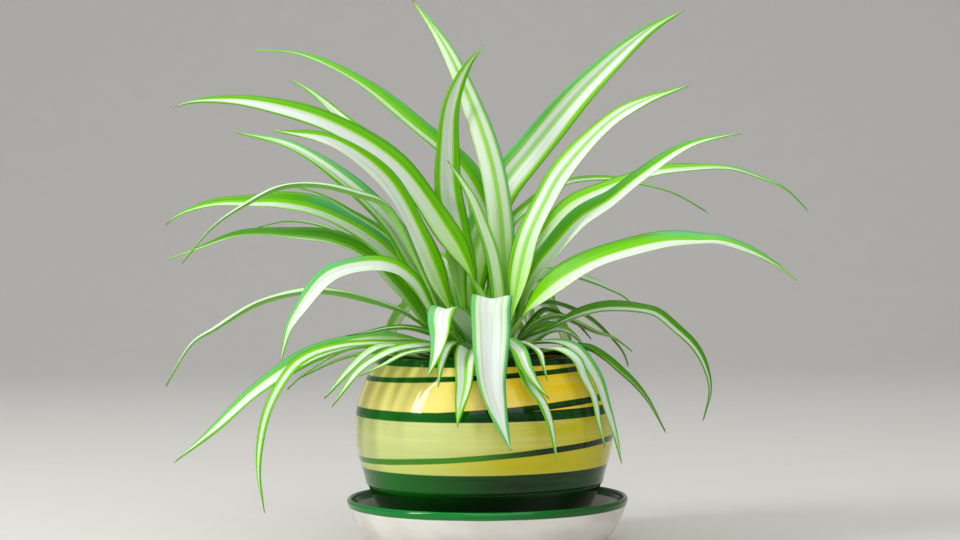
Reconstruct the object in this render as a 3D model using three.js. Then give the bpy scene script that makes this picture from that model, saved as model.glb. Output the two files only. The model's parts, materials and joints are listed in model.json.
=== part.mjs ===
// Potted spider plant: a round-bellied glazed pot in its saucer, filled with soil, with a crown of
// arching strap leaves. Millimetres, +Z up, front towards -Y. The origin is the centre of the
// saucer's flat underside.
import * as THREE from 'three';

// Driving dimensions of the pot and the saucer
const ROUND_STEPS = 48;
const SAUCER_RIM_RADIUS = 76.3;
const SAUCER_HEIGHT = 28.7;
const SAUCER_FOOT_RADIUS = 54;
const SAUCER_FLOOR = 5;
const SAUCER_WALL = 3.4;
const SEAT_GAP = 0.3;
const POT_AXIS_X = -1.4;
const POT_BELLY_RADIUS = 70;
const POT_BELLY_Z = 65;
const POT_LIP_RADIUS = 58.3;
const POT_LIP_Z = 106;
const POT_WALL = 4.4;
const POT_FLOOR = 7;
const DRAIN_RADIUS = 6;
const SOIL_TOP = 92;

// Driving dimensions of the plant
const CROWN = new THREE.Vector3(-3, 0, 99);
const CROWN_RADIUS = 21;
const CROWN_EDGE_DROP = 5;
const CROWN_DEPTH = 34;
const CROWN_TIP_RADIUS = 9;
const RING_RADII = [3.3, 6, 8.6, 11.2, 13.8, 16.3, 18.8];
const SHEATH_WIDTHS = [4, 4.6, 4.7, 4.3, 4.6, 4.5, 4.5];
const SHEATH_HEIGHTS = [9, 8.5, 8, 7.5, 7, 6.2, 5.4];
const SHEATH_FLARES = [1.1, 1.1, 1.12, 1.14, 1.16, 1.18, 1.2];
const ROOT_LIFT = 0.4;
const BLADE_THICKNESS = 0.7;
const BLADE_STATIONS = 16;
const BLADE_TIP_WIDTH = 1.3;
const ROLL_SETTLES_AT = 0.34;
// Share of its length at which a leaf has opened from its sheath to its full width
const SPREAD = 0.34;

// The front view that the leaves are laid out in: an eye this far in front of the axis
const EYE = new THREE.Vector3(-2.9, -1444, 197.6);

const COLOURS = {
  glaze: 0xe3cf3c,
  saucer: 0xf0efe6,
  soil: 0x3b2a1e,
  crown: 0xcfe08a,
  leaf: 0x6fae2c,
};

// Each leaf: the ring of the crown it grows from (0 is the innermost), the direction in which its
// sheath faces (degrees, 0 = right, 90 = back, 180 = left, 270 = front), its width, its spread where
// it opens earlier than SPREAD, the fold of its channel, its roll at mid length and at the tip, the
// direction it arches in where the tip doesn't say it, and the points of its path. A point is
// [across, up, depth]: across and up as seen from the front at the crown's depth, and how far it
// lies behind (+) or before (-) the crown.
const LEAVES = {
  leaf_top_1: { ring: 0, turn: 350, width: 15, spread: 0.26, fold: 22, roll: [66, 60], heading: 200,
    keel: [[8, 119, -2], [9.5, 157, -3], [7, 190, -3], [1.5, 217, -2], [-8, 244, 2],
      [-21.5, 273.5, 8], [-39, 299, 16]] },
  leaf_top_2: { ring: 0, turn: 216, width: 17, fold: 24, roll: [-78, -72], heading: 180,
    keel: [[-7, 119, 1], [-16, 173, 7.5], [-20, 195, 6], [-20, 217, 1], [-18.4, 238, -4],
      [-14, 252, -8], [-7.4, 264, -12], [0.3, 273, -16]] },
  leaf_top_3: { ring: 1, turn: 312, width: 9, spread: 0.28, fold: 26, roll: [60, 60], heading: 200,
    keel: [[6.6, 119, -8], [6.3, 141, -8.5], [3.4, 160, -9], [-1.6, 176, -10], [-8, 192, -12],
      [-20, 211, -15]] },
  leaf_top_4: { ring: 2, turn: 98, width: 12, fold: 26, roll: [60, 50], heading: 150,
    keel: [[-4.5, 125, 16.2], [-6, 150, 23], [-8, 170, 29], [-10, 197, 34]] },

  leaf_left_01: { ring: 0, turn: 90, width: 15, fold: 26, roll: [-36, -14], heading: 155,
    keel: [[8.5, 132, 8.5], [11.5, 156, 12], [3, 181, 13], [-12, 208, 14], [-37, 230, 18],
      [-67, 254, 28], [-99, 269, 42], [-124, 271, 52]] },
  leaf_left_02: { ring: 1, turn: 192, width: 14, fold: 26, roll: [-44, -36],
    keel: [[-11.5, 119, -4.2], [-14, 141, -7.5], [-18, 168, -5.5], [-30, 187, -3], [-46, 209, 4],
      [-73, 231, 16], [-94, 249, 26], [-105, 255, 30]] },
  leaf_left_03: { ring: 1, turn: 255, width: 19, spread: 0.22, fold: 22, roll: [-56, -48], heading: 190,
    keel: [[-1, 116, -11], [-3, 135, -12], [-11, 154, -13], [-22, 173, -13.2], [-48, 208, -16],
      [-83, 231, -21], [-127, 243.5, -26], [-156, 244, -32], [-167, 241, -34]] },
  leaf_left_04: { ring: 2, turn: 213, width: 20, spread: 0.31, fold: 20, roll: [-56, -50],
    keel: [[-14, 111, -10], [-20, 130, -15], [-26, 146, -20], [-35, 168, -27], [-54, 201, -34],
      [-83, 222, -43], [-115, 228, -51]] },
  leaf_left_05: { ring: 2, turn: 175, width: 15.5, fold: 30, roll: [-48, -30],
    keel: [[-18, 119, -1], [-29, 141, -3], [-40, 158, -4], [-51, 176, -2], [-77, 201.5, 6],
      [-105, 219.5, 16], [-135, 227, 28]] },
  leaf_left_06: { ring: 3, turn: 195, width: 13, fold: 34, roll: [-14, 0],
    keel: [[-22, 118, -9.4], [-32, 145, -14.5], [-53, 186, -15], [-69, 193, -15.5],
      [-89, 198, -17], [-110, 197, -19], [-131, 187, -22], [-147, 176, -25], [-165, 155, -28]] },
  leaf_left_07: { ring: 3, turn: 168, width: 9, spread: 0.26, fold: 32, roll: [-10, 0],
    keel: [[-23, 120, 3], [-36, 146, 5], [-50, 168, 6], [-73, 184, 8], [-89, 193, 10],
      [-110, 199, 14]] },
  leaf_left_08: { ring: 4, turn: 174, width: 19.5, spread: 0.24, fold: 24, roll: [-44, -28],
    keel: [[-24, 117, 4], [-34, 141, 8], [-58, 168, 12], [-89, 185, 14], [-110, 189.5, 15],
      [-126, 189.5, 16], [-148, 188.5, 18], [-165, 183, 20], [-173, 177, 21]] },
  leaf_left_09: { ring: 5, turn: 152, width: 9, spread: 0.26, fold: 34, roll: [-10, 0],
    keel: [[-27, 115, 15], [-36, 130, 22], [-54, 156, 31], [-71, 168, 37], [-89, 176, 41],
      [-107, 178.5, 44], [-124, 175, 47]] },
  leaf_left_10: { ring: 5, turn: 172, width: 17, spread: 0.26, fold: 26, roll: [-32, -16],
    keel: [[-31, 119, 9], [-46, 143, 16], [-61, 158.5, 20], [-80, 168, 23], [-104, 171.5, 25],
      [-132, 172, 28], [-158, 163.5, 30], [-173, 158, 31]] },
  leaf_left_11: { ring: 3, turn: 223, width: 18, fold: 28, roll: [-35, -25],
    keel: [[-16.3, 113, -16.5], [-29, 129, -23.5], [-38, 144, -28], [-48, 152, -33],
      [-58, 154.5, -37], [-77, 152, -43], [-87, 147, -45], [-101, 130, -48], [-107, 120, -49],
      [-111, 103, -50]] },
  leaf_left_12: { ring: 4, turn: 202, width: 13, spread: 0.28, fold: 34, roll: [-8, 0],
    keel: [[-22, 113, -11], [-33, 120.5, -16], [-47, 130, -21], [-82, 140, -28], [-99, 140.5, -30],
      [-123, 134.5, -34], [-147, 120.5, -38], [-159, 113, -40], [-174, 89, -43]] },
  leaf_left_13: { ring: 4, turn: 230, width: 12, fold: 30, roll: [-18, 0],
    keel: [[-20, 113, -20], [-32, 118, -29], [-43, 120.5, -34], [-54, 120, -37], [-66, 117.5, -40],
      [-76, 116, -42]] },
  leaf_left_14: { ring: 5, turn: 199, width: 17, spread: 0.26, fold: 28, roll: [-30, -20],
    keel: [[-24, 110, -8], [-35, 112, -14], [-47, 113, -20], [-64, 113, -27], [-82, 109.5, -34],
      [-100, 102.5, -39], [-124, 87, -46], [-147, 66.5, -52], [-170, 48, -58]] },
  leaf_left_15: { ring: 6, turn: 208, width: 8, fold: 30, roll: [-10, 0],
    keel: [[-26, 102.5, -12.5], [-40, 104, -24], [-54, 106.5, -33], [-66, 106.5, -41],
      [-80, 103, -47], [-103, 92.5, -52]] },
  leaf_left_16: { ring: 5, turn: 217, width: 9, fold: 28, roll: [-20, -30],
    keel: [[-24, 110, -18], [-38, 112.5, -29], [-48, 112, -35.5], [-63, 112, -44], [-79, 110.5, -50],
      [-95, 106, -54], [-105, 99, -56], [-118.5, 76, -60], [-124, 46, -62], [-121, 20.5, -62]] },
  leaf_left_17: { ring: 6, turn: 189, width: 9, fold: 30, roll: [-10, 0],
    keel: [[-27, 102.5, -4], [-44, 106, -8], [-58, 109.5, -12], [-70, 110, -15], [-82, 106, -18],
      [-100, 94.5, -21], [-108, 87, -22]] },
  leaf_left_18: { ring: 6, turn: 226, width: 10, fold: 30, roll: [-15, -10],
    keel: [[-22, 102.5, -20], [-33, 105.5, -32.5], [-43.5, 109, -43], [-55, 110.5, -49],
      [-63, 107.5, -53], [-73, 98.6, -57], [-88, 82, -61]] },
  leaf_left_19: { ring: 5, turn: 235, width: 10, fold: 30, roll: [-15, -10],
    keel: [[-17, 107.5, -22.5], [-28, 110.5, -37], [-36, 110.5, -48], [-49, 108.5, -57.5],
      [-59, 104, -61], [-69, 97, -64], [-84, 77.6, -67]] },
  leaf_left_20: { ring: 6, turn: 244, width: 8, fold: 26, roll: [-10, 0],
    keel: [[-13.5, 102.5, -25], [-20.5, 105.5, -40], [-28, 108, -53.5], [-44, 106, -62],
      [-57, 99.5, -66], [-69, 94, -69]] },

  leaf_front_01: { ring: 3, turn: 252, width: 17, fold: 18, roll: [0, 0],
    keel: [[-7.5, 114, -18.5], [-15, 127, -34], [-22, 131, -46], [-24.5, 126, -55],
      [-25, 116.6, -62], [-27, 106, -67], [-31.6, 93.4, -71]] },
  leaf_front_02: { ring: 5, turn: 253, width: 9, spread: 0.28, fold: 34, roll: [0, 0],
    keel: [[-9.5, 110, -27], [-17, 112, -41], [-21, 109.5, -54], [-23.5, 103, -61], [-25, 97, -65],
      [-26, 88, -68]] },
  leaf_front_03: { ring: 6, turn: 262, width: 15, spread: 0.28, fold: 36, roll: [0, 0],
    keel: [[-5.5, 102.5, -26], [-7, 105.5, -38], [-9, 109.5, -51], [-11, 104.5, -60],
      [-12, 89.4, -69], [-14.4, 77, -73], [-16, 66, -75]] },
  leaf_front_04: { ring: 3, turn: 285.5, width: 22, spread: 0.32, fold: 14, roll: [0, 0],
    keel: [[3.6, 117, -18.5], [3.8, 133, -35], [3.7, 136.5, -43], [2.8, 131, -51], [2.7, 117.4, -60],
      [2.4, 105.5, -67], [3, 89, -73], [7.5, 70, -77], [13, 53, -79]] },
  leaf_front_05: { ring: 5, turn: 279, width: 13, fold: 26, roll: [0, 0],
    keel: [[2.5, 110, -26], [7.5, 113.5, -40], [12.5, 112.3, -51], [18, 106.5, -62], [21.5, 98, -68],
      [27, 89, -71], [34, 81, -73]] },
  leaf_front_06: { ring: 5, turn: 298, width: 7, fold: 24, roll: [0, 0],
    keel: [[10.5, 110, -23], [18, 112, -36], [24, 110, -48], [29, 106, -56], [31, 99, -60],
      [33, 91, -63]] },
  leaf_front_07: { ring: 6, turn: 289, width: 8, spread: 0.26, fold: 20, roll: [0, 0],
    keel: [[5.5, 102.5, -25], [9, 105, -39], [13, 108.4, -52], [16.5, 106, -60], [19, 100, -64],
      [22, 92, -67], [25, 86, -69], [29.5, 80, -71], [34, 69, -72], [38, 47, -72]] },
  leaf_front_08: { ring: 6, turn: 308, width: 8, fold: 26, roll: [10, 10],
    keel: [[13, 102.5, -21], [26, 105.5, -34.5], [35, 108.4, -42.5], [42.5, 107, -47.5],
      [49, 102, -50], [53, 92.6, -51.5], [58, 82, -52], [61, 67, -52], [64, 54.4, -52]] },
  leaf_front_09: { ring: 5, turn: 317, width: 11, fold: 26, roll: [10, 15],
    keel: [[14, 107.5, -16.5], [27, 111.5, -25], [39, 112, -32.5], [47.5, 109, -37.5],
      [54, 101.5, -41], [60, 91.5, -42], [64.5, 78, -42], [69.5, 61.6, -42], [73, 45.4, -42]] },
  leaf_front_10: { ring: 6, turn: 332, width: 12, fold: 32, roll: [8, 10],
    keel: [[20, 102.5, -10], [34, 106, -14], [48, 109.5, -17], [56, 108.6, -19], [66, 102, -20],
      [72, 96.5, -21], [80.5, 88.5, -22], [88, 79, -23], [97, 62, -23]] },

  leaf_right_01: { ring: 1, turn: 135, width: 21, spread: 0.24, fold: 22, roll: [62, 60], heading: 20,
    keel: [[-10, 125, 9], [-9, 145, 14], [-4, 166, 19], [9, 195, 23], [25, 215, 26], [56, 250.5, 32],
      [89, 280, 39], [109, 291, 42]] },
  leaf_right_02: { ring: 2, turn: 328, width: 18, spread: 0.26, fold: 20, roll: [60, 50],
    keel: [[12.5, 115, -11], [16, 135, -15], [19.5, 154, -15.5], [24, 170, -16], [33, 189, -15],
      [42, 204, -17], [69, 232, -22], [87, 242, -26], [111, 250, -30]] },
  leaf_right_03: { ring: 1, turn: 74, width: 11, spread: 0.26, fold: 28, roll: [22, 14],
    keel: [[4.2, 130, 12.5], [6.5, 156, 18], [14, 176, 22], [24, 185.5, 23], [36, 194.6, 28],
      [48, 199, 32], [68, 200, 36], [85, 197, 40], [102, 192, 44], [121, 181, 48]] },
  leaf_right_04: { ring: 2, turn: 12, width: 17, fold: 26, roll: [26, 14],
    keel: [[12.8, 124, 2.2], [20, 146, 4.8], [27, 163, 6.5], [45.5, 185, 7], [64, 194, 9],
      [91, 203, 12], [111, 205, 14], [133, 205, 16], [149, 200, 18], [163, 193.5, 19],
      [175.5, 181, 20]] },
  leaf_right_05: { ring: 3, turn: 350, width: 18, fold: 22, roll: [48, 28],
    keel: [[15.5, 118, -5.2], [21, 138, -9.5], [28, 152, -11], [36, 162, -10.5], [51, 178, -12.5],
      [68, 188.5, -15], [82.5, 200, -18], [104, 214.5, -21], [117, 220, -23], [139, 224, -27]] },
  leaf_right_06: { ring: 3, turn: 314, width: 20, spread: 0.22, fold: 22, roll: [48, 10],
    keel: [[12, 114, -19], [17, 120, -22], [23, 130, -26], [36.5, 143, -31], [57, 155, -37],
      [73.5, 161, -41], [97, 166, -46], [115, 166.5, -50], [128, 166, -52], [143, 161, -55],
      [155, 154.5, -57], [169, 144, -59]] },
  leaf_right_07: { ring: 3, turn: 22, width: 15, spread: 0.24, fold: 30, roll: [24, 15],
    keel: [[13, 119, 8], [23, 143, 13], [33, 148.6, 15], [46, 148.5, 18], [57, 145, 20],
      [66, 141, 22], [75, 136, 24], [81, 129.5, 25]] },
  leaf_right_08: { ring: 4, turn: 30, width: 9, spread: 0.26, fold: 34, roll: [5, 0],
    keel: [[16, 122, 10], [25, 132, 14], [35, 133.7, 18], [44, 131.4, 22], [56, 125, 26],
      [66, 116, 29], [74, 106, 31], [77, 98, 32]] },
  leaf_right_09: { ring: 4, turn: 328, width: 16, fold: 28, roll: [20, 10],
    keel: [[18, 112, -11.5], [35, 119.5, -18], [49, 126.5, -22], [64.5, 130, -25], [83.5, 129, -28],
      [92, 127, -29], [102, 119, -31], [113, 108, -32], [119, 96, -33], [121, 84.5, -33],
      [117, 68, -33]] },
  leaf_right_10: { ring: 5, turn: 8, width: 9, spread: 0.26, fold: 32, roll: [5, 0],
    keel: [[18, 112, 6], [26, 124, 10], [33, 129.6, 13], [41, 127, 15], [50, 121, 17],
      [57, 113, 19]] },
  leaf_right_11: { ring: 5, turn: 347, width: 11, fold: 32, roll: [8, 5],
    keel: [[17, 110, -3], [23, 119, -3], [30, 124, -2], [40, 126, -1], [48, 123, 0], [60, 117, 2],
      [69, 114, 3], [79.5, 106, 4]] },
  leaf_right_12: { ring: 6, turn: 30, width: 14, fold: 24, roll: [30, 30],
    keel: [[20, 110, 12], [32, 119, 19], [44, 118, 25], [52.5, 110, 29], [57, 100, 32]] },
};

// The leaves behind, which arch over the pot's far lip: ring, sheath direction, direction of the
// arch, width, reach from the crown, height of the crest and how far the tip hangs below it
const BACK_LEAVES = [
  { ring: 2, turn: 60, heading: 68, width: 14, reach: 120, crest: 156, drop: 35 },
  { ring: 2, turn: 138, heading: 112, width: 14, reach: 125, crest: 158, drop: 40 },
  { ring: 3, turn: 62, heading: 76, width: 15, reach: 130, crest: 148, drop: 50 },
  { ring: 3, turn: 100, heading: 97, width: 16, reach: 140, crest: 150, drop: 55 },
  { ring: 4, turn: 60, heading: 58, width: 13, reach: 105, crest: 132, drop: 50 },
  { ring: 4, turn: 95, heading: 90, width: 14, reach: 125, crest: 138, drop: 65 },
  { ring: 4, turn: 135, heading: 124, width: 13, reach: 108, crest: 132, drop: 55 },
  { ring: 5, turn: 75, heading: 72, width: 11, reach: 95, crest: 121, drop: 60 },
  { ring: 5, turn: 115, heading: 106, width: 11, reach: 98, crest: 122, drop: 65 },
  { ring: 6, turn: 95, heading: 90, width: 10, reach: 85, crest: 115, drop: 62 },
];
const BACK_FOLD = 30;
const ARCH_REACH = [0.12, 0.3, 0.52, 0.78, 1];
const ARCH_RISE = [0.5, 0.92, 1, 0.72, 0];
const ARCH_CREST = 0.52;

const radians = THREE.MathUtils.degToRad;
const smooth = (value) => THREE.MathUtils.smoothstep(value, 0, 1);

// Turns a closed [radius, height] outline round the vertical axis
function turned(outline) {
  const points = outline.map(([radius, height]) => new THREE.Vector2(radius, height));
  return new THREE.LatheGeometry(points, ROUND_STEPS).rotateX(Math.PI / 2);
}

// Saucer: flat foot, flared wall and a rounded rim
function saucerGeometry() {
  const rim = SAUCER_RIM_RADIUS;
  const top = SAUCER_HEIGHT;
  return turned([
    [0, 0],
    [SAUCER_FOOT_RADIUS, 0],
    [SAUCER_FOOT_RADIUS + 5.5, 0.8],
    [65.5, 6],
    [71.5, 14.6],
    [75.2, 23.3],
    [rim, 26.8],
    [rim - 0.3, top - 0.5],
    [rim - 1.4, top],
    [rim - 2.4, top - 0.6],
    [rim - 2.8, top - 2],
    [75.2 - SAUCER_WALL, 22.6],
    [71.5 - SAUCER_WALL, 14.2],
    [65.5 - SAUCER_WALL - 0.6, 7.4],
    [SAUCER_FOOT_RADIUS + 2, SAUCER_FLOOR],
    [0, SAUCER_FLOOR],
  ]);
}

// Inner radius of the pot at a height above its floor
function potInside(height) {
  const rise = (height - POT_BELLY_Z) / (POT_LIP_Z - POT_BELLY_Z);
  const fall = (POT_BELLY_Z - height) / (POT_BELLY_Z - POT_FLOOR);
  const shape = height > POT_BELLY_Z ? 1 - 0.165 * rise ** 2 : 1 - 0.26 * fall ** 2;
  return (POT_BELLY_RADIUS - POT_WALL) * shape;
}

// Pot: foot, moulded step, round belly, shoulder and upright lip, open at the top and at the drain
function potGeometry() {
  const seat = SAUCER_FLOOR + SEAT_GAP;
  const floor = seat + POT_FLOOR;
  const lip = POT_LIP_RADIUS;
  const insideHeights = [98, 90, 80, POT_BELLY_Z, 50, 36, 24, 16];
  const inside = insideHeights.map((height) => [potInside(height), height]);
  return turned([
    [DRAIN_RADIUS, seat],
    [49.2, seat],
    [50.6, seat + 1.3],
    [58.2, 24.4],
    [63.3, 35.6],
    [64.4, 36.6],
    [65.1, 40.6],
    [68.2, 51],
    [69.8, 59.6],
    [POT_BELLY_RADIUS, POT_BELLY_Z],
    [69.7, 72],
    [68.1, 81.2],
    [64.4, 92],
    [61.2, 98],
    [lip + 0.3, 102.4],
    [lip, 104.6],
    [lip - 1.2, POT_LIP_Z],
    [lip - 3.2, POT_LIP_Z],
    [lip - 4.3, 104.4],
    ...inside,
    [potInside(16) - 3, floor],
    [DRAIN_RADIUS, floor],
    [DRAIN_RADIUS, seat],
  ]).translate(POT_AXIS_X, 0, 0);
}

// Height of the crown's domed top at a distance from its middle
function domeHeight(radius) {
  return CROWN.z - CROWN_EDGE_DROP * (radius / CROWN_RADIUS) ** 2;
}

// Soil: fills the pot and leaves a plain hole for the crown
function soilGeometry() {
  const edge = SEAT_GAP + 0.3;
  const floor = SAUCER_FLOOR + SEAT_GAP + POT_FLOOR + edge;
  const hole = CROWN_RADIUS + SEAT_GAP + Math.abs(CROWN.x - POT_AXIS_X);
  const holeFloor = CROWN.z - CROWN_DEPTH - SEAT_GAP;
  const sideHeights = [18, 24, 36, 50, POT_BELLY_Z, 80, SOIL_TOP - 1];
  const side = sideHeights.map((height) => [potInside(height) - edge, height]);
  return turned([
    [0, floor],
    [potInside(16) - 4, floor],
    ...side,
    [potInside(SOIL_TOP) - edge - 2, SOIL_TOP],
    [hole, SOIL_TOP],
    [hole, holeFloor],
    [0, holeFloor],
  ]).translate(POT_AXIS_X, 0, 0);
}

// Crown: a rootstock that tapers downwards in the soil and carries the leaves on its domed top
function crownGeometry() {
  const domeRadii = [CROWN_RADIUS - 0.6, 16, 11, 5.5, 0];
  const dome = domeRadii.map((radius) => [radius, domeHeight(radius)]);
  return turned([
    [0, CROWN.z - CROWN_DEPTH],
    [CROWN_TIP_RADIUS, CROWN.z - CROWN_DEPTH],
    [CROWN_RADIUS - 3, SOIL_TOP - 14],
    [CROWN_RADIUS, SOIL_TOP - 4],
    [CROWN_RADIUS, domeHeight(CROWN_RADIUS) - 0.6],
    ...dome,
  ]).translate(CROWN.x, CROWN.y, 0);
}

// A point given across, up and in depth in the front view, brought to its place in space
function fromFront([across, up, depth]) {
  const scale = 1 + (depth - CROWN.y) / (CROWN.y - EYE.y);
  return new THREE.Vector3(
    EYE.x + (across - EYE.x) * scale,
    CROWN.y + depth,
    EYE.z + (up - EYE.z) * scale,
  );
}

// The horizontal direction at an angle from the plant's right
function direction(degrees) {
  return new THREE.Vector3(Math.cos(radians(degrees)), Math.sin(radians(degrees)), 0);
}

// The two points that the keel starts with, on the leaf's ring of the crown
function sheathPoints({ ring, turn }) {
  const radius = RING_RADII[ring];
  const foot = CROWN.clone().addScaledVector(direction(turn), radius);
  foot.z = domeHeight(radius) + ROOT_LIFT;
  const top = CROWN.clone().addScaledVector(direction(turn), radius * SHEATH_FLARES[ring]);
  top.z = foot.z + SHEATH_HEIGHTS[ring];
  return [foot, top];
}

// The keel of a leaf behind: an even arch that rises from its sheath, crests and hangs
function archPoints(leaf) {
  const sheath = sheathPoints(leaf)[1];
  const tip = CROWN.clone().addScaledVector(direction(leaf.heading), leaf.reach);
  return ARCH_REACH.map((share, index) => {
    const point = sheath.clone().lerp(tip, share);
    const low = share < ARCH_CREST ? sheath.z : leaf.crest - leaf.drop;
    point.z = low + (leaf.crest - low) * ARCH_RISE[index];
    return point;
  });
}

// The angle between two directions, the short way round
function turnBetween(from, to) {
  return THREE.MathUtils.euclideanModulo(to - from + 180, 360) - 180;
}

// Half width of a blade at a share of its length: a narrow sheath, its full width, a long point
function halfWidth(leaf, share) {
  const opened = smooth(share / (leaf.spread ?? SPREAD));
  const sheath = THREE.MathUtils.lerp(SHEATH_WIDTHS[leaf.ring], leaf.width, opened);
  const point = Math.max(0, (share - 0.42) / 0.58) ** 2.1;
  return Math.max(BLADE_TIP_WIDTH, sheath * (1 - point)) / 2;
}

// Half angle of a blade's channel, which hugs its ring at the sheath and flattens at the tip
function foldAngle(leaf, share) {
  const bend = SHEATH_WIDTHS[leaf.ring] / (4 * RING_RADII[leaf.ring]);
  const hug = THREE.MathUtils.radToDeg(Math.asin(bend));
  const opening = THREE.MathUtils.lerp(hug, leaf.fold, smooth(share / 0.4));
  return radians(opening * (1 - 0.4 * smooth((share - 0.7) / 0.3)));
}

// Strap leaf: a folded blade with three points across on each face. Its path follows the keel in
// the sheath, and the middle of the channel's depth beyond it
function leafGeometry(leaf) {
  const blade = leaf.keel ? leaf.keel.map(fromFront) : archPoints(leaf);
  const curve = new THREE.CatmullRomCurve3([...sheathPoints(leaf), ...blade], false, 'centripetal');
  const tip = blade.at(-1);
  const outward = THREE.MathUtils.radToDeg(Math.atan2(tip.y - CROWN.y, tip.x - CROWN.x));
  const heading = leaf.heading ?? outward;
  const side = direction(heading + 90);
  const rootRoll = turnBetween(heading, leaf.turn);
  const [midRoll, tipRoll] = leaf.roll ?? [0, 0];

  const positions = [];
  for (let station = 0; station < BLADE_STATIONS; station += 1) {
    const share = station / (BLADE_STATIONS - 1);
    const centre = curve.getPointAt(share);
    const along = curve.getTangentAt(share);
    const across = side.clone().addScaledVector(along, -side.dot(along)).normalize();
    const settled = smooth(share / ROLL_SETTLES_AT);
    const later = Math.max(0, (share - ROLL_SETTLES_AT) / (1 - ROLL_SETTLES_AT));
    const bladeRoll = THREE.MathUtils.lerp(midRoll, tipRoll, later);
    const roll = THREE.MathUtils.lerp(rootRoll, bladeRoll, settled);
    across.applyAxisAngle(along, radians(roll));
    const inner = along.clone().cross(across);
    const fold = foldAngle(leaf, share);
    const half = halfWidth(leaf, share);
    const rise = half * Math.sin(fold);
    const reach = half * Math.cos(fold);
    const keelDrop = -0.5 * rise * settled;
    const thickness = BLADE_THICKNESS / Math.cos(fold);
    for (const level of [0, thickness]) {
      for (const edge of [-1, 0, 1]) {
        const point = centre.clone()
          .addScaledVector(across, edge * reach)
          .addScaledVector(inner, keelDrop + Math.abs(edge) * rise + level);
        positions.push(point.x, point.y, point.z);
      }
    }
  }
  return closedSweep(positions, BLADE_STATIONS);
}

// Skins a sweep whose sections hold three points of the lower face and then three of the upper one
function closedSweep(positions, stations) {
  const section = 6;
  const ring = [0, 1, 2, 5, 4, 3];
  const faces = [];
  for (let station = 0; station + 1 < stations; station += 1) {
    const near = station * section;
    const far = near + section;
    ring.forEach((corner, index) => {
      const next = ring[(index + 1) % section];
      const [a, b, c, d] = [near + corner, near + next, far + next, far + corner];
      const leftHalf = [corner, next].every((point) => point % 3 < 2);
      faces.push(...(leftHalf ? [a, b, d, b, c, d] : [a, b, c, a, c, d]));
    });
  }
  const last = (stations - 1) * section;
  for (const [a, b, c, d] of [[0, 1, 4, 3], [1, 2, 5, 4]]) {
    faces.push(a, d, c, a, c, b);
    faces.push(last + a, last + b, last + c, last + a, last + c, last + d);
  }
  const geometry = new THREE.BufferGeometry();
  geometry.setAttribute('position', new THREE.Float32BufferAttribute(positions, 3));
  geometry.setIndex(faces);
  return geometry;
}

function named(name, geometry, colour, roughness) {
  const material = new THREE.MeshStandardMaterial({ color: colour, roughness, metalness: 0 });
  const mesh = new THREE.Mesh(geometry, material);
  mesh.name = name;
  return mesh;
}

const plant = new THREE.Group();
plant.add(named('saucer', saucerGeometry(), COLOURS.saucer, 0.2));
plant.add(named('pot', potGeometry(), COLOURS.glaze, 0.15));
plant.add(named('soil', soilGeometry(), COLOURS.soil, 0.95));
plant.add(named('crown', crownGeometry(), COLOURS.crown, 0.6));
for (const [name, leaf] of Object.entries(LEAVES)) {
  plant.add(named(name, leafGeometry(leaf), COLOURS.leaf, 0.45));
}
BACK_LEAVES.forEach((leaf, index) => {
  const name = `leaf_back_${String(index + 1).padStart(2, '0')}`;
  plant.add(named(name, leafGeometry({ fold: BACK_FOLD, ...leaf }), COLOURS.leaf, 0.45));
});

export default plant;
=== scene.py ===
"""Looks of a potted spider plant: variegated strap leaves that arch out of a crown, in potting
soil, in a hand-painted glazed pot on its saucer. Everything is in metres in the CAD model's frame,
where the front faces -Y. MM brings the sizes that are given in millimetres to metres."""
import json
import math
import random
from collections import namedtuple
from functools import partial

import bmesh
import bpy
from mathutils import Matrix, Vector

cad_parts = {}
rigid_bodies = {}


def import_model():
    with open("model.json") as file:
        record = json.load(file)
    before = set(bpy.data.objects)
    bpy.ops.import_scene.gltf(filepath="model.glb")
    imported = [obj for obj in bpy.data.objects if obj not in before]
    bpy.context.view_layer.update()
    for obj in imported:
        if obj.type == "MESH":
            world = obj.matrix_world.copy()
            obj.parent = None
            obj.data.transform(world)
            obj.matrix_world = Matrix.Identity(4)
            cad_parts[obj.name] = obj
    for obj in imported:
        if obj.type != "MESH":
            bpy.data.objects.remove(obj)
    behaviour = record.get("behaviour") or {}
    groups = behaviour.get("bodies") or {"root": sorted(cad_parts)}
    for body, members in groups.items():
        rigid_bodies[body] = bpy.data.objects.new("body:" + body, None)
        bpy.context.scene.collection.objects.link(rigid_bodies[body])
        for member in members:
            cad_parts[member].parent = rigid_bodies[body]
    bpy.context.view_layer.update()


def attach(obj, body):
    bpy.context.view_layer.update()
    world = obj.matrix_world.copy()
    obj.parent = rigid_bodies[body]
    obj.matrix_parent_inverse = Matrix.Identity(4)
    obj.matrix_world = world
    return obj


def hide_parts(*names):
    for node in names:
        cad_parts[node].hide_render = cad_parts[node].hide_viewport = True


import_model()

MM = 0.001
METRE = (1000, 1000, 1000)
NODE_FAMILIES = ("ShaderNode", "GeometryNode", "FunctionNode", "Node")

# Pot and saucer, in millimetres; the shares say how far the pot's inside draws in
POT_AXIS_X = -1.4
SAUCER_FLOOR = 5
POT_SEAT = 5.3
POT_FLOOR = 12.3
DRAIN_RADIUS = 6
POT_INSIDE = 65.6
BELLY_Z = 65
LIP_Z = 106
INSIDE_FOOT_Z = 7
LIP_DRAWN_IN = 0.165
FOOT_DRAWN_IN = 0.26
TURNED_STEPS = 193
SMALLEST_STEP = 0.03

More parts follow.
